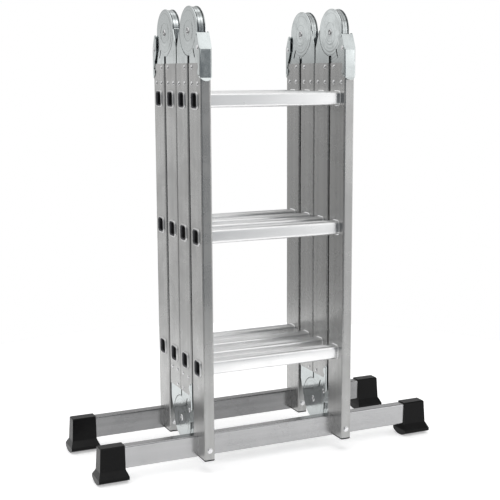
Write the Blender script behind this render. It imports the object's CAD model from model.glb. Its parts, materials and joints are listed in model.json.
"""Looks of a folding multi position ladder: metals, mouldings, fasteners and a studio stage.

Laid out as an add-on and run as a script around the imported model.
"""

import json
import math

import bmesh
import bpy
from bpy.props import FloatProperty, FloatVectorProperty, IntProperty, PointerProperty
from mathutils import Matrix, Vector


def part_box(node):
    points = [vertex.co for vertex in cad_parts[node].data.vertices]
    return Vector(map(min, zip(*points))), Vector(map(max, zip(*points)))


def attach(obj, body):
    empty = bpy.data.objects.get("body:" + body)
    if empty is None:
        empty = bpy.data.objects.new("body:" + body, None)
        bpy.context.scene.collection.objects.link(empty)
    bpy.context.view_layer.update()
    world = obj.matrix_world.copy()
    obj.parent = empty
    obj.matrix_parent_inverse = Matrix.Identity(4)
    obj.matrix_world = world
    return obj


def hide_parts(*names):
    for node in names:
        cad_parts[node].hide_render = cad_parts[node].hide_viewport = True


bl_info = {
    "name": "Folding Ladder Looks",
    "version": (1, 0, 0),
    "blender": (4, 5, 0),
    "location": "3D View > Sidebar > Ladder",
    "description": "Finishes a packed folding ladder and sets it on a studio stage",
    "category": "Object",
}

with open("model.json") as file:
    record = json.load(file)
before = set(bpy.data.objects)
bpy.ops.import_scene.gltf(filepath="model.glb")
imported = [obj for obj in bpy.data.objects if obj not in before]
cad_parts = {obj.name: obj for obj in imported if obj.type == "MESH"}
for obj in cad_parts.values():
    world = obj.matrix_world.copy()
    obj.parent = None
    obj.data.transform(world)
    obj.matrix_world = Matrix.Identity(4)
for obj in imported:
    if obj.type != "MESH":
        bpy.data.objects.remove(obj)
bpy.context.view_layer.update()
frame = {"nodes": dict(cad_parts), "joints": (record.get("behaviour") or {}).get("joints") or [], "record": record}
RECORD = frame["record"]
BODY_OF = {node: body for body, nodes in RECORD["behaviour"]["bodies"].items() for node in nodes}
SLOT_OF = {part["node"]: part["material_slot"] for part in RECORD["subparts"]}
JOINTS = {joint["name"]: joint for joint in frame["joints"]}
SECTIONS = ("front", "second", "third", "rear")
OUTER_SECTIONS = ("front", "rear")
HINGES = ("front", "middle", "rear")
SIDES = ("left", "right")
MM = 0.001
MERGE_GAP = 0.005 * MM
FLAT_ANGLE = math.radians(0.6)
SMOOTH_ANGLE = math.radians(32)


# Sizes and colours

def length_value(name, description, millimetres):
    return FloatProperty(
        name=name, description=description, default=millimetres * MM, min=0, unit="LENGTH")


def colour_value(name, description, *levels):
    return FloatVectorProperty(name=name, description=description, default=levels, subtype="COLOR")


class LadderSizes(bpy.types.PropertyGroup):
    """Sizes of the details that are finished here"""
    tube_edge: length_value("Tube Edge", "Rounding of cut edges on stiles and bars", 0.35)
    sheet_edge: length_value("Sheet Edge", "Rounding of stamped edges on plates, cups and levers", 0.4)
    moulded_edge: length_value("Moulded Edge", "Rounding of the edges of feet", 1.1)
    turned_edge: length_value("Turned Edge", "Rounding of the edges of pins and pivots", 0.25)
    rung_corner: length_value("Rung Corner", "Outer corner radius of a rung", 6.5)
    rung_wall: length_value("Rung Wall", "Wall of a rung", 1.5)
    groove_depth: length_value("Groove Depth", "Depth of the grip grooves along a rung", 0.6)
    groove_width: length_value("Groove Width", "Width of the grip grooves along a rung", 1.8)
    groove_count: IntProperty(
        name="Grooves", description="Grip grooves along the top of a rung", default=5, min=1)
    rim_width: length_value("Rim Width", "Width of the swaged rim round a rung end", 3)
    rim_thickness: length_value("Rim Thickness", "Thickness of the swaged rim round a rung end", 1.2)
    spring_wire: length_value("Spring Wire", "Wire radius of the lever springs", 0.6)
    spring_radius: length_value("Spring Radius", "Middle radius of the lever springs' turns", 3.9)
    spring_pitch: length_value("Spring Pitch", "Step from one turn of a lever spring to the next", 1.7)


class LadderFinishes(bpy.types.PropertyGroup):
    """Colours of the finishes"""
    stile_colour: colour_value("Stiles", "Satin extruded aluminium of the stiles", 0.4, 0.4, 0.395)
    rung_colour: colour_value("Rungs", "Bright drawn aluminium of the rungs", 0.86, 0.86, 0.86)
    bore_colour: colour_value("Bores", "Dull dark finish inside the rungs", 0.012, 0.012, 0.013)
    bar_colour: colour_value("Bars", "Satin extruded aluminium of the stabiliser bars", 0.43, 0.43, 0.435)
    zinc_colour: colour_value("Zinc", "Zinc plated steel of hinges and levers", 0.5, 0.53, 0.53)
    fastener_colour: colour_value("Fasteners", "Bright plated bolts, pins and pivots", 0.75, 0.75, 0.76)
    rivet_colour: colour_value("Rivets", "Bright aluminium rivets", 0.62, 0.62, 0.625)
    spring_colour: colour_value("Springs", "Oiled spring steel", 0.16, 0.16, 0.165)
    plastic_colour: colour_value("Plastic", "Black moulded feet and end caps", 0.0014, 0.0014, 0.0016)


class LadderStage(bpy.types.PropertyGroup):
    """Camera and floor"""
    camera_place: FloatVectorProperty(
        name="Camera", description="Place of the camera",
        default=(-0.9787, -2.1541, 0.8422), subtype="TRANSLATION", unit="LENGTH")
    camera_yaw: FloatProperty(
        name="Yaw", description="Turn of the camera towards the ladder's right end",
        default=0.42444, subtype="ANGLE")
    camera_tilt: FloatProperty(
        name="Tilt", description="Tilt of the camera below the horizon",
        default=0.16474, subtype="ANGLE")
    camera_roll: FloatProperty(
        name="Roll", description="Roll of the camera", default=-0.00493, subtype="ANGLE")
    camera_lens: FloatProperty(
        name="Lens", description="Focal length on a 36 mm sensor, in millimetres",
        default=77.254, subtype="DISTANCE_CAMERA")
    floor_colour: colour_value("Floor", "Pale studio floor", 0.94, 0.94, 0.94)
    floor_radius: FloatProperty(
        name="Floor Radius", description="Radius of the studio floor", default=1.2, unit="LENGTH")


# Node wrappers

class Value:
    """Socket of a node tree that adds Math nodes when it is used in an expression."""

    def __init__(self, finish, socket):
        self.finish = finish
        self.socket = socket

    def __add__(self, other):
        return self.finish.math("ADD", self, other)

    def __sub__(self, other):
        return self.finish.math("SUBTRACT", self, other)

    def __rsub__(self, other):
        return self.finish.math("SUBTRACT", other, self)

    def __mul__(self, other):
        return self.finish.math("MULTIPLY", self, other)

    def __abs__(self):
        return self.finish.math("ABSOLUTE", self)

    __radd__ = __add__
    __rmul__ = __mul__


SOCKETS = {"specular_ior_level": "Specular IOR Level"}


class Finish:
    """Node tree of one material or world, filled through one method."""

    def __init__(self, owner):
        owner.use_nodes = True
        self.owner = owner
        self.tree = owner.node_tree

    def node(self, kind, settings=None, inputs=None, output=0):
        made = self.tree.nodes.new(kind)
        for name, value in (settings or {}).items():
            if name == "stops":
                set_stops(made.color_ramp, value)
            else:
                setattr(made, name, value)
        for name, value in (inputs or {}).items():
            self.feed(made.inputs[name], value)
        return Value(self, made.outputs[output])

    def feed(self, socket, value):
        if isinstance(value, Value):
            self.tree.links.new(value.socket, socket)
        else:
            socket.default_value = value

    def math(self, operation, *values):
        return self.node("ShaderNodeMath", {"operation": operation}, dict(enumerate(values)))

    def part(self, vector, axis):
        return self.node("ShaderNodeSeparateXYZ", {}, {0: vector}, axis)

    def place(self):
        return self.node("ShaderNodeTexCoord", output="Object")

    def noise(self, place, scale, detail=2.0, roughness=0.5, distortion=0.0):
        return self.node("ShaderNodeTexNoise", {}, {
            "Vector": place, "Scale": scale, "Detail": detail, "Roughness": roughness,
            "Distortion": distortion})

    def stretched(self, place, scale):
        return self.node("ShaderNodeMapping", {}, {"Vector": place, "Scale": scale})

    def ramp(self, value, low, high):
        return self.node("ShaderNodeMapRange", {"interpolation_type": "SMOOTHSTEP"}, {
            "Value": value, "From Min": low, "From Max": high, "To Min": 0.0, "To Max": 1.0})

    def past(self, value, limit, blur):
        """Nothing below a limit and one above it, with a soft step between them."""
        return self.ramp(value, limit - blur, limit + blur)

    def mix(self, factor, first, second):
        return self.node("ShaderNodeMix", {"data_type": "RGBA"}, {0: factor, 6: first, 7: second}, 2)

    def bump(self, height, strength, distance, **under):
        return self.node("ShaderNodeBump", {}, {
            "Strength": strength, "Distance": distance, "Height": height, **under})

    def shade(self, **values):
        shader = self.tree.nodes["Principled BSDF"]
        for name, value in values.items():
            self.feed(shader.inputs[SOCKETS.get(name) or name.replace("_", " ").title()], value)


def set_stops(color_ramp, stops):
    while len(color_ramp.elements) > 1:
        color_ramp.elements.remove(color_ramp.elements[-1])
    for index, (place, colour) in enumerate(stops):
        stop = color_ramp.elements[0] if index == 0 else color_ramp.elements.new(place)
        stop.position = place
        stop.color = colour


def tint(colour, factor):
    return (*(min(1.0, part * factor) for part in colour), 1.0)


# Finishes

# Noise scales of the die lines of drawn metal, and the share of them that its wider bands have
ALONG_X = (14.0, 1300.0, 1300.0)
ALONG_Z = (1300.0, 1300.0, 9.0)
BAND_SHARE = 0.06

# Rung ends and the rear bar's front, from the ladder's middle, and how much paler a bore is at its mouth
RUNG_END = 175.5 * MM
REAR_BAR_FROM = 106 * MM
MOUTH_TINT = 8.0

# Cups: a stile's middle from the ladder's, a cup's inner and outer face from that, and the rim by radius
STILE_MIDDLE = 164.5 * MM
CUP_INSIDE = 5.6 * MM
CUP_OUTSIDE = 7.5 * MM
RIM_RADIUS = 49 * MM
RIM_DEPTH = 2 * MM
EDGE_BLUR = 0.1 * MM

# Pressed rings of the plates and the groove in a pivot's head, by radius round the axis
PLATE_CREASES = (9 * MM, 20.5 * MM, 41 * MM, 47.5 * MM)
CREASE_WIDTH = 2 * MM
CREASE_SHADE = 0.22
WAVE_LENGTH = 7.5 * MM
WAVE_HEIGHT = 0.004 * MM
PIVOT_GROOVES = (4.4 * MM,)
GROOVE_WIDTH = 2.6 * MM


def drawn_aluminium(
        name, colour, grain, roughness, smudge, dull=0.0, dull_axis="X", dull_from=0.0):
    """Extruded or drawn aluminium: die lines along one direction, soft handling smudges and specks.

    Past dull_from along dull_axis the metal is duller, by a share that dull gives.
    """
    finish = Finish(bpy.data.materials.new(name))
    place = finish.place()
    dulled = finish.past(abs(finish.part(place, dull_axis)), dull_from, MM)
    lines = finish.noise(finish.stretched(place, grain), scale=1.0, detail=4.0, roughness=0.65)
    wide_grain = [BAND_SHARE * part for part in grain]
    streaks = finish.noise(finish.stretched(place, wide_grain), scale=1.0, detail=1.0)
    bands = finish.ramp(streaks, 0.35, 0.65)
    clouds = finish.noise(place, scale=11.0, detail=4.0, roughness=0.6, distortion=0.6)
    specks = finish.noise(place, scale=900.0)
    worn = finish.ramp(clouds, 0.35, 0.75)
    tone = lines * 0.3 + bands * 0.35 + worn * smudge + specks * 0.06
    shine = finish.mix(tone, tint(colour, 1.08), tint(colour, 0.86))
    finish.shade(
        base_color=finish.mix(dulled * dull, shine, (0.0, 0.0, 0.0, 1.0)),
        roughness=roughness - 0.08 + lines * 0.12 + worn * 0.1,
        metallic=1.0,
        normal=finish.bump(lines * 0.8 + specks * 0.2, strength=0.12, distance=0.08 * MM),
    )
    return finish.owner


def hinge_radius(finish, place):
    """Distance from the nearest hinge axis. The front and rear axes lie evenly about the middle one."""
    top, middle = (Vector(JOINTS[name]["pos_m"]) for name in ("front_fold", "middle_fold_first_half"))
    from_middle = finish.part(place, "Y") - middle.y
    aside = abs(from_middle) - (middle.y - top.y)
    z = finish.part(place, "Z")
    squared = aside * aside + (z - top.z) * (z - top.z)
    squared_low = from_middle * from_middle + (z - middle.z) * (z - middle.z)
    return finish.math("SQRT", finish.math("MINIMUM", squared, squared_low))


def ring(finish, radius, middle, width):
    """One on a ring at a radius, falling to nothing a little past half its width away."""
    return 1 - finish.past(abs(radius - middle), 0.4 * width, 0.2 * width)


def plated_steel(name, colour, roughness, creases=(), cut_edges=False):
    """Zinc plated sheet: faint crystal spangle, rolling lines and cloudy dull patches.

    Creases give the radii of pressed rings round the hinge axes, with dark lines and faint waves.
    Cut edges inside a hinge are bare and dark.
    """
    finish = Finish(bpy.data.materials.new(name))
    place = finish.place()
    spangle = finish.node("ShaderNodeTexVoronoi", {"feature": "F1"}, {
        "Vector": place, "Scale": 260.0, "Randomness": 1.0}, "Color")
    cells = finish.node("ShaderNodeSeparateColor", {}, {"Color": spangle}, "Red")
    clouds = finish.noise(place, scale=38.0, detail=5.0, roughness=0.62, distortion=0.4)
    rolled = finish.stretched(place, (1400.0, 1400.0, 120.0))
    grain = finish.noise(rolled, scale=1.0, detail=3.0, roughness=0.6)
    patches = finish.ramp(clouds, 0.38, 0.68)
    tone = cells * 0.08 + patches * 0.3 + grain * 0.2
    plating = finish.mix(tone, tint(colour, 1.1), tint(colour, 0.86))
    radius = hinge_radius(finish, place)
    surface = finish.bump(grain * 0.8 + cells * 0.2, strength=0.07, distance=0.05 * MM)
    if creases:
        waves = finish.math("SINE", radius * (2 * math.pi / WAVE_LENGTH))
        surface = finish.bump(waves, strength=1.0, distance=WAVE_HEIGHT, Normal=surface)
    for middle in creases:
        crease = ring(finish, radius, middle, CREASE_WIDTH)
        plating = finish.mix(crease * CREASE_SHADE, plating, tint(colour, 0.2))
    if cut_edges:
        across = abs(abs(finish.part(place, "X")) - STILE_MIDDLE)
        inside = 1 - finish.past(across, CUP_OUTSIDE, EDGE_BLUR)
        sheet = finish.past(across, CUP_INSIDE, EDGE_BLUR)
        below_rim = 1 - finish.past(radius, RIM_RADIUS - RIM_DEPTH, 2 * EDGE_BLUR)
        bare = inside * finish.math("MAXIMUM", sheet, below_rim)
        plating = finish.mix(bare, plating, tint(colour, 0.12))
    finish.shade(
        base_color=plating,
        roughness=roughness - 0.05 + patches * 0.1 + grain * 0.08,
        metallic=1.0,
        normal=surface,
    )
    return finish.owner


def bright_metal(name, colour, roughness, grooves=()):
    """Turned or headed metal: fine even grain, light tarnish and dark grooves round the hinge axes."""
    finish = Finish(bpy.data.materials.new(name))
    place = finish.place()
    grain = finish.noise(place, scale=1500.0, detail=3.0, roughness=0.6)
    clouds = finish.noise(place, scale=120.0, detail=3.0, roughness=0.55)
    tarnish = finish.ramp(clouds, 0.4, 0.75)
    metal = finish.mix(tarnish * 0.7 + grain * 0.3, tint(colour, 1.06), tint(colour, 0.82))
    for middle in grooves:
        groove = ring(finish, hinge_radius(finish, place), middle, GROOVE_WIDTH)
        metal = finish.mix(groove, metal, tint(colour, 0.08))
    finish.shade(
        base_color=metal,
        roughness=roughness + grain * 0.08 + tarnish * 0.08,
        metallic=1.0,
        normal=finish.bump(grain, strength=0.12, distance=0.04 * MM),
    )
    return finish.owner


def moulded_plastic(name, colour):
    """Black moulded plastic: fine spark-eroded grain, scuffs and pale dust in patches."""
    finish = Finish(bpy.data.materials.new(name))
    place = finish.place()
    grain = finish.noise(place, scale=2200.0, detail=3.0, roughness=0.6)
    level = finish.stretched(place, (60.0, 60.0, 180.0))
    rubs = finish.noise(level, scale=1.0, detail=5.0, roughness=0.7, distortion=0.8)
    scuffs = finish.ramp(rubs, 0.6, 0.8)
    clouds = finish.noise(place, scale=45.0, detail=4.0, roughness=0.6)
    dust = finish.ramp(clouds, 0.45, 0.8)
    finish.shade(
        base_color=finish.mix(scuffs * 0.5 + dust * 0.35, tint(colour, 1.0), tint(colour, 2.6)),
        roughness=0.24 + grain * 0.08 + dust * 0.12,
        specular_ior_level=0.15,
        normal=finish.bump(grain, strength=0.35, distance=0.08 * MM),
    )
    return finish.owner


def dark_bore(name, colour):
    """Unpolished inside of a tube: dull, dark and streaked along its length, paler at its mouth."""
    finish = Finish(bpy.data.materials.new(name))
    place = finish.place()
    lengthwise = finish.stretched(place, (30.0, 900.0, 900.0))
    streaks = finish.noise(lengthwise, scale=1.0, detail=3.0, roughness=0.6)
    mouth = finish.ramp(abs(finish.part(place, "X")), RUNG_END - MM, RUNG_END)
    streaked = finish.mix(streaks, tint(colour, 0.6), tint(colour, 1.6))
    finish.shade(
        base_color=finish.mix(mouth, streaked, tint(colour, MOUTH_TINT)),
        roughness=0.75 + streaks * 0.2,
        metallic=0.0,
        normal=finish.bump(streaks, strength=0.2, distance=0.1 * MM),
    )
    return finish.owner


def finish_for(slot):
    """Material of one of the record's slots or of a finer finish, made once."""
    name = slot + "_finish"
    made = bpy.data.materials.get(name)
    if made:
        return made
    colours = bpy.context.scene.ladder_finishes
    makers = {
        "stile_aluminium": lambda: drawn_aluminium(
            name, colours.stile_colour, ALONG_Z, roughness=0.27, smudge=0.35),
        "rung_aluminium": lambda: drawn_aluminium(
            name, colours.rung_colour, ALONG_X, roughness=0.3, smudge=0.2,
            dull=0.35, dull_axis="X", dull_from=RUNG_END),
        "bar_aluminium": lambda: drawn_aluminium(
            name, colours.bar_colour, ALONG_X, roughness=0.22, smudge=0.3,
            dull=0.34, dull_axis="Y", dull_from=REAR_BAR_FROM),
        "zinc_steel": lambda: plated_steel(name, colours.zinc_colour, roughness=0.14),
        "zinc_plate": lambda: plated_steel(
            name, colours.zinc_colour, roughness=0.1, creases=PLATE_CREASES),
        "zinc_cup": lambda: plated_steel(name, colours.zinc_colour, roughness=0.14, cut_edges=True),
        "pivot_steel": lambda: bright_metal(
            name, colours.fastener_colour, roughness=0.2, grooves=PIVOT_GROOVES),
        "bright_fasteners": lambda: bright_metal(name, colours.fastener_colour, roughness=0.2),
        "rivet_aluminium": lambda: bright_metal(name, colours.rivet_colour, roughness=0.1),
        "spring_steel": lambda: bright_metal(name, colours.spring_colour, roughness=0.3),
        "black_plastic": lambda: moulded_plastic(name, colours.plastic_colour),
        "rung_bore": lambda: dark_bore(name, colours.bore_colour),
    }
    return makers[slot]()


# Mesh helpers

def new_piece(name, shape):
    """Object at the origin from a bmesh, which is freed."""
    mesh = bpy.data.meshes.new(name)
    shape.to_mesh(mesh)
    shape.free()
    piece = bpy.data.objects.new(name, mesh)
    bpy.context.scene.collection.objects.link(piece)
    return piece


def smooth(mesh, angle=SMOOTH_ANGLE):
    """Smooth shading with sharp edges past an angle."""
    mesh.shade_smooth()
    mesh.set_sharp_from_angle(angle=angle)


def seat(piece, node):
    """Puts a finished piece in a CAD node's place, on the node's body."""
    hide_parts(node)
    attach(piece, BODY_OF[node])


def merged_copy(node):
    """Merged copy of a CAD node's mesh, with its flat faces joined again."""
    shape = bmesh.new()
    shape.from_mesh(frame["nodes"][node].data)
    bmesh.ops.remove_doubles(shape, verts=shape.verts, dist=MERGE_GAP)
    bmesh.ops.dissolve_limit(shape, angle_limit=FLAT_ANGLE, verts=shape.verts, edges=shape.edges)
    return shape


def softened(node, edge, segments=2, finish=None):
    """Copy of a CAD node with rounded edges, in the node's place, in its slot's finish or another."""
    piece = new_piece(node + "_finished", merged_copy(node))
    smooth(piece.data)
    piece.data.materials.clear()
    piece.data.materials.append(finish_for(finish or SLOT_OF[node]))
    rounding = piece.modifiers.new("edge_rounding", "BEVEL")
    rounding.width = edge
    rounding.segments = segments
    rounding.limit_method = "ANGLE"
    rounding.angle_limit = SMOOTH_ANGLE
    rounding.use_clamp_overlap = True
    rounding.miter_outer = "MITER_ARC"
    flats = piece.modifiers.new("flat_faces", "WEIGHTED_NORMAL")
    flats.keep_sharp = True
    seat(piece, node)


def solid_boxes(node):
    """Lowest and highest corners of each separate solid in a CAD node, in order."""
    shape = bmesh.new()
    shape.from_mesh(frame["nodes"][node].data)
    bmesh.ops.remove_doubles(shape, verts=shape.verts, dist=MERGE_GAP)
    unseen = set(shape.verts)
    boxes = []
    while unseen:
        reached = [unseen.pop()]
        for vert in reached:
            for edge in vert.link_edges:
                other = edge.other_vert(vert)
                if other in unseen:
                    unseen.remove(other)
                    reached.append(other)
        low = tuple(min(vert.co[axis] for vert in reached) for axis in range(3))
        high = tuple(max(vert.co[axis] for vert in reached) for axis in range(3))
        boxes.append((Vector(low), Vector(high)))
    shape.free()
    return sorted(boxes, key=lambda box: tuple(round(part, 6) for part in box[0]))


def loft(shape, rings, closed_ends=True):
    """Skin over rings of points, with the same number of points in each."""
    rows = [[shape.verts.new(point) for point in points] for points in rings]
    count = len(rows[0])
    for near, far in zip(rows, rows[1:]):
        for k in range(count):
            shape.faces.new((near[k], near[(k + 1) % count], far[(k + 1) % count], far[k]))
    if closed_ends:
        shape.faces.new(tuple(reversed(rows[0])))
        shape.faces.new(tuple(rows[-1]))
    return rows


def turned(shape, profile, sides, place):
    """Solid of revolution round local Z from (radius, height) points, from its first end to its last."""
    angles = [2 * math.pi * k / sides for k in range(sides)]
    loft(shape, [
        [place @ Vector((radius * math.cos(a), radius * math.sin(a), height)) for a in angles]
        for radius, height in profile])


def plain_mesh(piece):
    """Turns a piece's modifiers into a plain mesh."""
    bpy.context.view_layer.update()
    graph = bpy.context.evaluated_depsgraph_get()
    seen = piece.evaluated_get(graph)
    mesh = bpy.data.meshes.new_from_object(seen, preserve_all_data_layers=True, depsgraph=graph)
    piece.modifiers.clear()
    piece.data = mesh
    mesh.name = piece.name


def apply_tree(piece, tree, inputs):
    """Runs a Geometry Nodes tree on a piece, with its named inputs, and keeps the result as a plain mesh."""
    modifier = piece.modifiers.new(tree.name, "NODES")
    modifier.node_group = tree
    for socket in tree.interface.items_tree:
        if socket.name in inputs:
            modifier[socket.identifier] = inputs[socket.name]
    plain_mesh(piece)


def set_on_points(name, shape_piece, places, material):
    """One shape set on every place by Geometry Nodes, as a plain mesh. The shape is used up."""
    points = bpy.data.meshes.new(name + "_points")
    points.from_pydata([tuple(place) for place in places], [], [])
    piece = bpy.data.objects.new(name, points)
    bpy.context.scene.collection.objects.link(piece)
    apply_tree(piece, repeat_tree(), {"Shape": shape_piece, "Finish": material})
    bpy.data.objects.remove(shape_piece)
    return piece


def new_tree(name, inputs):
    """Empty Geometry Nodes tree with its input and output nodes."""
    tree = bpy.data.node_groups.new(name, "GeometryNodeTree")
    tree.interface.new_socket("Geometry", in_out="OUTPUT", socket_type="NodeSocketGeometry")
    tree.interface.new_socket("Geometry", in_out="INPUT", socket_type="NodeSocketGeometry")
    for label, kind in inputs:
        tree.interface.new_socket(label, in_out="INPUT", socket_type=kind)
    return tree, tree.nodes.new("NodeGroupInput"), tree.nodes.new("NodeGroupOutput")


def repeat_tree():
    """Tree that sets one shape on each point of a mesh."""
    made = bpy.data.node_groups.get("shape_on_points")
    if made:
        return made
    tree, given, result = new_tree("shape_on_points", (
        ("Shape", "NodeSocketObject"), ("Finish", "NodeSocketMaterial")))
    shape = tree.nodes.new("GeometryNodeObjectInfo")
    spots = tree.nodes.new("GeometryNodeMeshToPoints")
    copies = tree.nodes.new("GeometryNodeInstanceOnPoints")
    joined = tree.nodes.new("GeometryNodeRealizeInstances")
    painted = tree.nodes.new("GeometryNodeSetMaterial")
    link = tree.links.new
    link(given.outputs["Geometry"], spots.inputs["Mesh"])
    link(spots.outputs["Points"], copies.inputs["Points"])
    link(given.outputs["Shape"], shape.inputs["Object"])
    link(shape.outputs["Geometry"], copies.inputs["Instance"])
    link(copies.outputs["Instances"], joined.inputs["Geometry"])
    link(joined.outputs["Geometry"], painted.inputs["Geometry"])
    link(given.outputs["Finish"], painted.inputs["Material"])
    link(painted.outputs["Geometry"], result.inputs["Geometry"])
    return tree


def rung_tree():
    """Tree that stacks a rung up a section and paints its bore apart."""
    made = bpy.data.node_groups.get("rung_stack")
    if made:
        return made
    tree, given, result = new_tree("rung_stack", (
        ("Rungs", "NodeSocketInt"), ("Spacing", "NodeSocketFloat"),
        ("Finish", "NodeSocketMaterial"), ("Bore Finish", "NodeSocketMaterial")))
    step = tree.nodes.new("ShaderNodeCombineXYZ")
    line = tree.nodes.new("GeometryNodeMeshLine")
    copies = tree.nodes.new("GeometryNodeInstanceOnPoints")
    joined = tree.nodes.new("GeometryNodeRealizeInstances")
    bore = tree.nodes.new("GeometryNodeInputNamedAttribute")
    bore.data_type = "BOOLEAN"
    bore.inputs["Name"].default_value = "bore"
    painted = tree.nodes.new("GeometryNodeSetMaterial")
    painted_bore = tree.nodes.new("GeometryNodeSetMaterial")
    link = tree.links.new
    link(given.outputs["Spacing"], step.inputs["Z"])
    link(given.outputs["Rungs"], line.inputs["Count"])
    link(step.outputs["Vector"], line.inputs["Offset"])
    link(line.outputs["Mesh"], copies.inputs["Points"])
    link(given.outputs["Geometry"], copies.inputs["Instance"])
    link(copies.outputs["Instances"], joined.inputs["Geometry"])
    link(joined.outputs["Geometry"], painted.inputs["Geometry"])
    link(given.outputs["Finish"], painted.inputs["Material"])
    link(painted.outputs["Geometry"], painted_bore.inputs["Geometry"])
    link(bore.outputs["Attribute"], painted_bore.inputs["Selection"])
    link(given.outputs["Bore Finish"], painted_bore.inputs["Material"])
    link(painted_bore.outputs["Geometry"], result.inputs["Geometry"])
    return tree


# Rungs

# Steps round a corner of the section, and how much narrower a groove is at its floor, on each side
CORNER_STEPS = 6
GROOVE_SLOPE = 0.2 * MM

# Swaged rim in the photo against the rim in CAD, and depth of the bore that is made, in rim thicknesses
RIM_SPREAD = 1.25
RIM_HEIGHT = 2.2
BORE_DEPTH = 8

# Station along half a rung where its bore begins
MOUTH_STATION = 11


def rung_outline(half_depth, half_height, sizes, grow, groove):
    """Points round a rung's section, grown outwards, with a share of the groove depth cut in its top."""
    radius = sizes.rung_corner + grow
    corner_y = half_depth - sizes.rung_corner
    corner_z = half_height - sizes.rung_corner
    groove_step = 2 * corner_y / (sizes.groove_count - 1)
    half_groove = sizes.groove_width / 2
    floor_half = half_groove - GROOVE_SLOPE
    last_angle = math.acos(half_groove / sizes.rung_corner)

    def top(y, cut):
        past = max(0.0, abs(y) - corner_y)
        return corner_z + math.sqrt(radius * radius - past * past) - cut * groove * sizes.groove_depth

    upper = [(corner_y + radius * math.cos(a), corner_z + radius * math.sin(a))
             for a in (last_angle * k / CORNER_STEPS for k in range(CORNER_STEPS))]
    reach = min(1.0, radius / sizes.rung_corner)
    for index in reversed(range(sizes.groove_count)):
        middle = (index - (sizes.groove_count - 1) / 2) * groove_step
        for offset, cut in ((half_groove, 0), (floor_half, 1), (-floor_half, 1), (-half_groove, 0)):
            y = middle + offset * reach
            upper.append((y, top(y, cut)))
    upper += [(-y, z) for y, z in reversed(upper[:CORNER_STEPS])]
    lower_left = [(-corner_y - radius * math.cos(a), -corner_z - radius * math.sin(a))
                  for a in (math.pi / 2 * k / CORNER_STEPS for k in range(CORNER_STEPS + 1))]
    lower_right = [(-y, z) for y, z in reversed(lower_left)]
    return upper + lower_left + lower_right


def rung_shape(box, sizes):
    """One rung with grip grooves, inner beads and rounded swaged rims, round the middle of its box.

    Each station along it is a place, an outwards growth of the section and a share of the groove depth.
    """
    low, high = box
    span = (high.x - low.x) / 2 - sizes.rim_thickness
    half_height = (high.z - low.z) / 2 - sizes.rim_width
    half_depth = (high.y - low.y) / 2 - sizes.rim_width
    bead_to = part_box("front_stile_right")[0].x
    bead_from = bead_to - sizes.rim_thickness
    bead = sizes.rim_width / 2
    wide = RIM_SPREAD * sizes.rim_width
    thick = sizes.rim_thickness
    tall = RIM_HEIGHT * thick
    wall = sizes.rung_wall
    middle = [(0.0, 0.0, 1.0), (bead_from, 0.0, 1.0)]
    inner_bead = [
        (bead_from + 0.1 * thick, 0.55 * bead, 0.5), (bead_from + 0.4 * thick, bead, 0.0),
        (bead_to - 0.05 * thick, bead, 0.0), (bead_to, 0.0, 1.0)]
    outer_rim = [
        (span, 0.0, 1.0), (span, wide, 0.0), (span + 0.12 * tall, 0.97 * wide, 0.0),
        (span + 0.6 * tall, 0.8 * wide, 0.0), (span + 0.88 * tall, 0.6 * wide, 0.0),
        (span + tall, 0.25 * wide, 0.0)]
    mouth = [
        (span + 0.96 * tall, -0.4 * wall, 0.0), (span + 0.75 * tall, -0.8 * wall, 0.0),
        (span + 0.4 * tall, -wall, 0.0), (span - BORE_DEPTH * thick, -wall, 0.0)]
    half_stations = middle + inner_bead + outer_rim + mouth
    stations = half_stations + [(-x, grow, groove) for x, grow, groove in reversed(half_stations[1:])]
    rings = [[(x, y, z) for y, z in rung_outline(half_depth, half_height, sizes, grow, groove)]
             for x, grow, groove in stations]
    shape = bmesh.new()
    rows = loft(shape, rings, closed_ends=False)
    count = len(rows[0])
    for k in range(count):
        shape.faces.new((rows[-1][k], rows[-1][(k + 1) % count], rows[0][(k + 1) % count], rows[0][k]))
    bore = shape.faces.layers.bool.new("bore")
    for index, face in enumerate(shape.faces):
        face[bore] = MOUTH_STATION <= index // count < len(stations) - MOUTH_STATION
    bmesh.ops.recalc_face_normals(shape, faces=shape.faces)
    return shape


class LADDER_OT_rungs(bpy.types.Operator):
    """Makes the drawn rungs with their swaged ends"""
    bl_idname = "ladder.rungs"
    bl_label = "Rungs"

    def execute(self, context):
        sizes = context.scene.ladder_sizes
        for section in SECTIONS:
            node = section + "_rungs"
            boxes = sorted(solid_boxes(node), key=lambda box: box[0].z)
            low, high = boxes[0]
            piece = new_piece(node + "_finished", rung_shape(boxes[0], sizes))
            smooth(piece.data)
            apply_tree(piece, rung_tree(), {
                "Rungs": len(boxes), "Spacing": boxes[1][0].z - low.z,
                "Finish": finish_for(SLOT_OF[node]), "Bore Finish": finish_for("rung_bore")})
            piece.data.transform(Matrix.Translation((low + high) / 2))
            seat(piece, node)
        return {"FINISHED"}


# Stiles, bars and fasteners

class LADDER_OT_stiles(bpy.types.Operator):
    """Finishes the stile tubes with eased edges"""
    bl_idname = "ladder.stiles"
    bl_label = "Stiles"

    def execute(self, context):
        for section in SECTIONS:
            for side in SIDES:
                softened(f"{section}_stile_{side}", context.scene.ladder_sizes.tube_edge)
        return {"FINISHED"}


class LADDER_OT_bars(bpy.types.Operator):
    """Finishes the stabiliser bars and the stiles' end caps"""
    bl_idname = "ladder.bars"
    bl_label = "Bars"

    def execute(self, context):
        sizes = context.scene.ladder_sizes
        for section in OUTER_SECTIONS:
            softened(section + "_bar", sizes.tube_edge)
            softened(section + "_end_caps", sizes.turned_edge)
        return {"FINISHED"}


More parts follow.
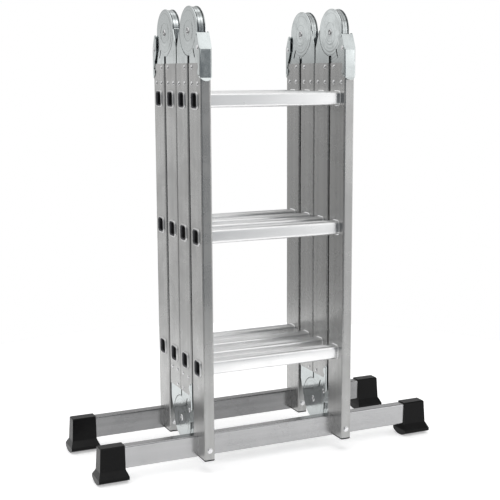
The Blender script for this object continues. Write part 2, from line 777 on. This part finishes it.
# Rivet heads in the photo against the heads in CAD, and their make-up in shares of a head
HEAD_HEIGHT = 1.4
HEAD_RADIUS = 1.2
RIVET_SHANK = 0.6
RIVET_SINK = 0.1
DOME_STEPS = 5
DOME_TIP = 0.04
RIVET_SIDES = 20
RIVET_SMOOTH = math.radians(40)

# Bar bolts: washer under the head, bolt end past the nut, and the rest in shares of the washer's radius
WASHER = 0.6 * MM
BOLT_END = 0.4 * MM
BOLT_HEAD = 0.84
BOLT_SHANK = 0.62
BOLT_NUT = 0.98
CHAMFER_HEIGHT = 0.224
CHAMFER_REACH = 0.86
WASHER_SIDES = 28
SHANK_SIDES = 20
HEXAGON_POINTS = 24


def middles(boxes):
    """Middle of each box."""
    return [(low + high) / 2 for low, high in boxes]


class LADDER_OT_rivets(bpy.types.Operator):
    """Sets domed rivets through the stile ends"""
    bl_idname = "ladder.rivets"
    bl_label = "Rivets"

    def execute(self, context):
        stile_low, stile_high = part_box("front_stile_left")
        half_grip = (stile_high.x - stile_low.x) / 2
        for section in SECTIONS:
            node = section + "_rivets"
            boxes = solid_boxes(node)
            low, high = boxes[0]
            head_height = HEAD_HEIGHT * ((high.x - low.x) / 2 - half_grip)
            head_radius = HEAD_RADIUS * (high.z - low.z) / 2
            dome = [(head_radius * math.cos(a), half_grip + head_height * math.sin(a))
                    for a in (math.pi / 2 * k / DOME_STEPS for k in range(DOME_STEPS + 1))]
            dome[-1] = (DOME_TIP * head_radius, dome[-1][1])
            shank = RIVET_SHANK * head_radius
            seat_height = half_grip - RIVET_SINK * head_height
            half = [(shank, 0.0), (shank, seat_height), (head_radius, seat_height), *dome]
            profile = [(radius, -height) for radius, height in reversed(half)] + half[1:]
            shape = bmesh.new()
            turned(shape, profile, RIVET_SIDES, Matrix.Rotation(math.pi / 2, 4, "Y"))
            bmesh.ops.recalc_face_normals(shape, faces=shape.faces)
            rivet = new_piece("one_rivet", shape)
            smooth(rivet.data, RIVET_SMOOTH)
            piece = set_on_points(node + "_finished", rivet, middles(boxes), finish_for(SLOT_OF[node]))
            seat(piece, node)
        return {"FINISHED"}


def hexagon(shape, radius, base, top, place):
    """Hexagon head or nut with its outer corners turned round, from its base to its top."""
    chamfer_from = top - CHAMFER_HEIGHT * (top - base)
    rings = []
    for share, height in ((1.0, base), (1.0, chamfer_from), (CHAMFER_REACH, top)):
        points = []
        for k in range(HEXAGON_POINTS):
            angle = 2 * math.pi * k / HEXAGON_POINTS
            flat = radius * math.cos(math.pi / 6) / math.cos((angle % (math.pi / 3)) - math.pi / 6)
            reach = min(flat, radius * share) if share < 1 else flat
            points.append(place @ Vector((reach * math.cos(angle), reach * math.sin(angle), height)))
        rings.append(points)
    loft(shape, rings)


class LADDER_OT_bolts(bpy.types.Operator):
    """Sets the bar bolts with their washers and nuts"""
    bl_idname = "ladder.bolts"
    bl_label = "Bar Bolts"

    def execute(self, context):
        for section in OUTER_SECTIONS:
            node = section + "_bar_bolts"
            boxes = solid_boxes(node)
            low, high = boxes[0]
            radius = (high.x - low.x) / 2
            shank = BOLT_SHANK * radius
            middle = (low.y + high.y) / 2
            head_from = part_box(section + "_stile_left")[0].y - middle
            nut_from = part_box(section + "_bar")[1].y - middle
            end = high.y - middle
            shape = bmesh.new()
            along_y = Matrix.Rotation(-math.pi / 2, 4, "X")
            hexagon(shape, BOLT_HEAD * radius, head_from - WASHER, low.y - middle, along_y)
            turned(shape, [(radius, head_from - WASHER), (radius, head_from)], WASHER_SIDES, along_y)
            turned(shape, [(shank, head_from), (shank, end)], SHANK_SIDES, along_y)
            hexagon(shape, BOLT_NUT * radius, nut_from, end - BOLT_END, along_y)
            bmesh.ops.recalc_face_normals(shape, faces=shape.faces)
            bolt = new_piece("one_bolt", shape)
            smooth(bolt.data)
            piece = set_on_points(node + "_finished", bolt, middles(boxes), finish_for(SLOT_OF[node]))
            seat(piece, node)
        return {"FINISHED"}


# Feet

class LADDER_OT_feet(bpy.types.Operator):
    """Finishes the moulded feet"""
    bl_idname = "ladder.feet"
    bl_label = "Feet"

    def execute(self, context):
        for section in OUTER_SECTIONS:
            for side in SIDES:
                softened(f"{section}_foot_{side}", context.scene.ladder_sizes.moulded_edge, 3)
        return {"FINISHED"}


# Hinges and levers

class LADDER_OT_hinges(bpy.types.Operator):
    """Finishes hinge plates, cups, pivots and spacers"""
    bl_idname = "ladder.hinges"
    bl_label = "Hinges"

    def execute(self, context):
        sizes = context.scene.ladder_sizes
        for hinge in HINGES:
            softened(hinge + "_hinge_plates", sizes.sheet_edge, finish="zinc_plate")
            softened(hinge + "_hinge_cups", sizes.sheet_edge, finish="zinc_cup")
            softened(hinge + "_hinge_pivots", sizes.turned_edge, finish="pivot_steel")
            softened(hinge + "_hinge_spacers", sizes.turned_edge)
        return {"FINISHED"}


class LADDER_OT_levers(bpy.types.Operator):
    """Finishes the release levers, their lock bars and pins"""
    bl_idname = "ladder.levers"
    bl_label = "Levers"

    def execute(self, context):
        sizes = context.scene.ladder_sizes
        for hinge in HINGES:
            for side in SIDES:
                softened(f"{hinge}_lever_{side}", sizes.sheet_edge)
                softened(f"{hinge}_lock_bar_{side}", sizes.turned_edge)
            softened(hinge + "_lever_pins", sizes.turned_edge)
        return {"FINISHED"}


# Springs: ends of the two legs outwards and upwards from the pin, and the make-up of the wire
STILE_LEG = (8.25 * MM, -30.7 * MM)
WEB_LEG = (8.6 * MM, -20 * MM)
COIL_TURNS = 5
COIL_STEPS = 24
WIRE_SIDES = 10
WIRE_SMOOTH = math.radians(60)


def spring_path(sizes):
    """Points along one spring round its pin: leg on the stile, turns, leg on the lever."""
    def heading(leg):
        return math.atan2(leg[1], leg[0])

    def leave(leg):
        return math.acos(sizes.spring_radius / math.hypot(*leg))

    start = heading(STILE_LEG) + leave(STILE_LEG)
    sweep = heading(WEB_LEG) - leave(WEB_LEG) + 2 * math.pi * (COIL_TURNS + 1) - start
    half = sweep / (2 * math.pi) * sizes.spring_pitch / 2
    steps = math.ceil(sweep / (2 * math.pi) * COIL_STEPS)
    turns = []
    for step in range(steps + 1):
        angle = start + sweep * step / steps
        turns.append((
            half * (2 * step / steps - 1),
            sizes.spring_radius * math.cos(angle), sizes.spring_radius * math.sin(angle)))
    return [(-half, *STILE_LEG)] + turns + [(half, *WEB_LEG)]


def wire(shape, path, radius):
    """Round wire along a path."""
    rings = []
    for index, point in enumerate(path):
        ahead = (path[min(index + 1, len(path) - 1)] - path[max(index - 1, 0)]).normalized()
        across = ahead.cross(Vector((1, 0, 0))).normalized()
        up = across.cross(ahead)
        rings.append([
            point + radius * (math.cos(a) * across + math.sin(a) * up)
            for a in (2 * math.pi * k / WIRE_SIDES for k in range(WIRE_SIDES))])
    loft(shape, rings)


class LADDER_OT_springs(bpy.types.Operator):
    """Winds the levers' torsion springs"""
    bl_idname = "ladder.springs"
    bl_label = "Springs"

    def execute(self, context):
        sizes = context.scene.ladder_sizes
        for hinge in HINGES:
            node = hinge + "_lever_springs"
            shape = bmesh.new()
            for side in SIDES:
                pin = Vector(JOINTS[f"{hinge}_lever_{side}_lock"]["pos_m"])
                outwards = 1 if hinge == "rear" else -1
                upwards = -1 if hinge == "middle" else 1
                path = [pin + Vector((x, outwards * u, upwards * v)) for x, u, v in spring_path(sizes)]
                wire(shape, path, sizes.spring_wire)
            bmesh.ops.recalc_face_normals(shape, faces=shape.faces)
            piece = new_piece(node + "_finished", shape)
            smooth(piece.data, WIRE_SMOOTH)
            piece.data.materials.append(finish_for(SLOT_OF[node]))
            seat(piece, node)
        return {"FINISHED"}


# Stage

def grey(level, cool=0.0):
    """Grey light, a little bluer where cool is more than nothing."""
    return (level * (1 - cool), level, level * (1 + cool), 1.0)


# Light round the room by degrees from the front, where the camera stands, towards the ladder's right.
# A low dark screen stands behind the ladder on its left, and a lamp hangs above the front.
DARK_SIDE = ((-60, grey(0.6)), (-40, grey(0.2, 0.08)), (25, grey(0.2, 0.08)))
BRIGHT_SIDE = (
    (27.2, grey(1.25)), (75, grey(1.2)), (95, grey(0.7)),
    (130, grey(0.6)), (165, grey(0.65)), (180, grey(1.0)))
LOW_ROOM = (
    (-180, grey(1.15)), (-160.5, grey(1.15)), (-149, grey(0.14)), (-100, grey(0.3)),
    *DARK_SIDE, *BRIGHT_SIDE)
HIGH_ROOM = (
    (-180, grey(0.75)), (-157, grey(0.75)), (-151, grey(1.2)), (-100, grey(1.1)),
    *DARK_SIDE, *BRIGHT_SIDE)
CEILING = (
    (-20, grey(0.85)), (5, grey(1.6)), (38, grey(1.6)),
    (50, grey(0.05)), (110, grey(0.05)), (135, grey(0.85)))

# Upwards parts of a heading between which the room turns from low to high, and from high to ceiling
HORIZON = (0.005, 0.03)
CEILING_EDGE = (0.5, 0.75)

# Floor, a little below the feet and bright of itself, and the width of the camera's sensor in millimetres
FLOOR_SIDES = 96
FLOOR_DROP = 0.2 * MM
FLOOR_GLOW = 0.42
SENSOR_WIDTH = 36


def area_light(name, place, target, size, power):
    """Rectangular softbox that faces a target."""
    data = bpy.data.lights.new(name, "AREA")
    data.shape = "RECTANGLE"
    data.size, data.size_y = size
    data.energy = power
    light = bpy.data.objects.new(name, data)
    light.location = place
    light.rotation_euler = (Vector(target) - Vector(place)).to_track_quat("-Z", "Y").to_euler()
    bpy.context.scene.collection.objects.link(light)


def studio_world():
    """White studio behind, bright softbox to the front right, and the darker room behind the camera."""
    world = bpy.data.worlds.new("studio")
    bpy.context.scene.world = world
    finish = Finish(world)
    heading = finish.node("ShaderNodeTexCoord", output="Generated")
    towards = finish.node("ShaderNodeVectorMath", {"operation": "NORMALIZE"}, {0: heading})
    x, y, z = (finish.part(towards, axis) for axis in "XYZ")
    turn = finish.math("ARCTAN2", x, 0 - y) * (0.5 / math.pi) + 0.5
    low_room, high_room, ceiling = (
        finish.node("ShaderNodeValToRGB", {"stops": [
            ((degrees + 180) / 360, colour) for degrees, colour in stops]}, {"Fac": turn})
        for stops in (LOW_ROOM, HIGH_ROOM, CEILING))
    room = finish.mix(finish.ramp(z, *HORIZON), low_room, high_room)
    glow = finish.mix(finish.ramp(z, *CEILING_EDGE), room, ceiling)
    seen = finish.node("ShaderNodeLightPath", output="Is Camera Ray")
    colour = finish.mix(seen, glow, (1.0, 1.0, 1.0, 1.0))
    finish.feed(finish.tree.nodes["Background"].inputs["Color"], colour)


class LADDER_OT_stage(bpy.types.Operator):
    """Sets the floor, the lights and the camera"""
    bl_idname = "ladder.stage"
    bl_label = "Stage"

    def execute(self, context):
        stage = context.scene.ladder_stage
        shape = bmesh.new()
        bmesh.ops.create_circle(shape, cap_ends=True, segments=FLOOR_SIDES, radius=stage.floor_radius)
        bmesh.ops.translate(shape, verts=shape.verts, vec=(0, 0, -FLOOR_DROP))
        floor = new_piece("floor", shape)
        paint = Finish(bpy.data.materials.new("studio_floor"))
        cloud = paint.noise(paint.place(), scale=3.0, detail=3.0)
        paint.shade(
            base_color=paint.mix(cloud, tint(stage.floor_colour, 1.0), tint(stage.floor_colour, 0.985)),
            roughness=0.9,
            emission_color=(1.0, 1.0, 1.0, 1.0),
            emission_strength=FLOOR_GLOW)
        floor.data.materials.append(paint.owner)
        studio_world()
        area_light(
            "overhead_softbox", place=(0.2, -0.3, 3.2), target=(0, 0, 0.2), size=(3.0, 3.0), power=20)
        area_light(
            "right_softbox", place=(2.6, -2.6, 1.1), target=(0.1, 0, 0.5), size=(1.6, 2.0), power=10)
        camera_data = bpy.data.cameras.new("photo_camera")
        camera_data.lens = stage.camera_lens
        camera_data.sensor_width = SENSOR_WIDTH
        camera = bpy.data.objects.new("photo_camera", camera_data)
        camera.matrix_world = (
            Matrix.Translation(stage.camera_place)
            @ Matrix.Rotation(-stage.camera_yaw, 4, "Z")
            @ Matrix.Rotation(math.pi / 2 - stage.camera_tilt, 4, "X")
            @ Matrix.Rotation(stage.camera_roll, 4, "Z"))
        context.scene.collection.objects.link(camera)
        context.scene.camera = camera
        context.scene.view_settings.view_transform = "Standard"
        return {"FINISHED"}


class LADDER_PT_looks(bpy.types.Panel):
    """Lists the ladder's pieces and their sizes"""
    bl_idname = "LADDER_PT_looks"
    bl_label = "Ladder"
    bl_space_type = "VIEW_3D"
    bl_region_type = "UI"
    bl_category = "Ladder"

    def draw(self, context):
        for operator in OPERATORS:
            self.layout.operator(operator.bl_idname)
        for group in (context.scene.ladder_sizes, context.scene.ladder_finishes, context.scene.ladder_stage):
            for name in group.__annotations__:
                self.layout.prop(group, name)


OPERATORS = (
    LADDER_OT_stage, LADDER_OT_stiles, LADDER_OT_rungs, LADDER_OT_rivets, LADDER_OT_bars, LADDER_OT_bolts,
    LADDER_OT_feet, LADDER_OT_hinges, LADDER_OT_levers, LADDER_OT_springs,
)
GROUPS = {"ladder_sizes": LadderSizes, "ladder_finishes": LadderFinishes, "ladder_stage": LadderStage}


def register():
    for group in GROUPS.values():
        bpy.utils.register_class(group)
    for operator in OPERATORS:
        bpy.utils.register_class(operator)
    bpy.utils.register_class(LADDER_PT_looks)
    for name, group in GROUPS.items():
        setattr(bpy.types.Scene, name, PointerProperty(type=group))


def unregister():
    for name in GROUPS:
        delattr(bpy.types.Scene, name)
    bpy.utils.unregister_class(LADDER_PT_looks)
    for operator in reversed(OPERATORS):
        bpy.utils.unregister_class(operator)
    for group in GROUPS.values():
        bpy.utils.unregister_class(group)


def main():
    register()
    bpy.ops.ladder.stage()
    bpy.ops.ladder.stiles()
    bpy.ops.ladder.rungs()
    bpy.ops.ladder.rivets()
    bpy.ops.ladder.bars()
    bpy.ops.ladder.bolts()
    bpy.ops.ladder.feet()
    bpy.ops.ladder.hinges()
    bpy.ops.ladder.levers()
    bpy.ops.ladder.springs()


if __name__ == "__main__":
    main()
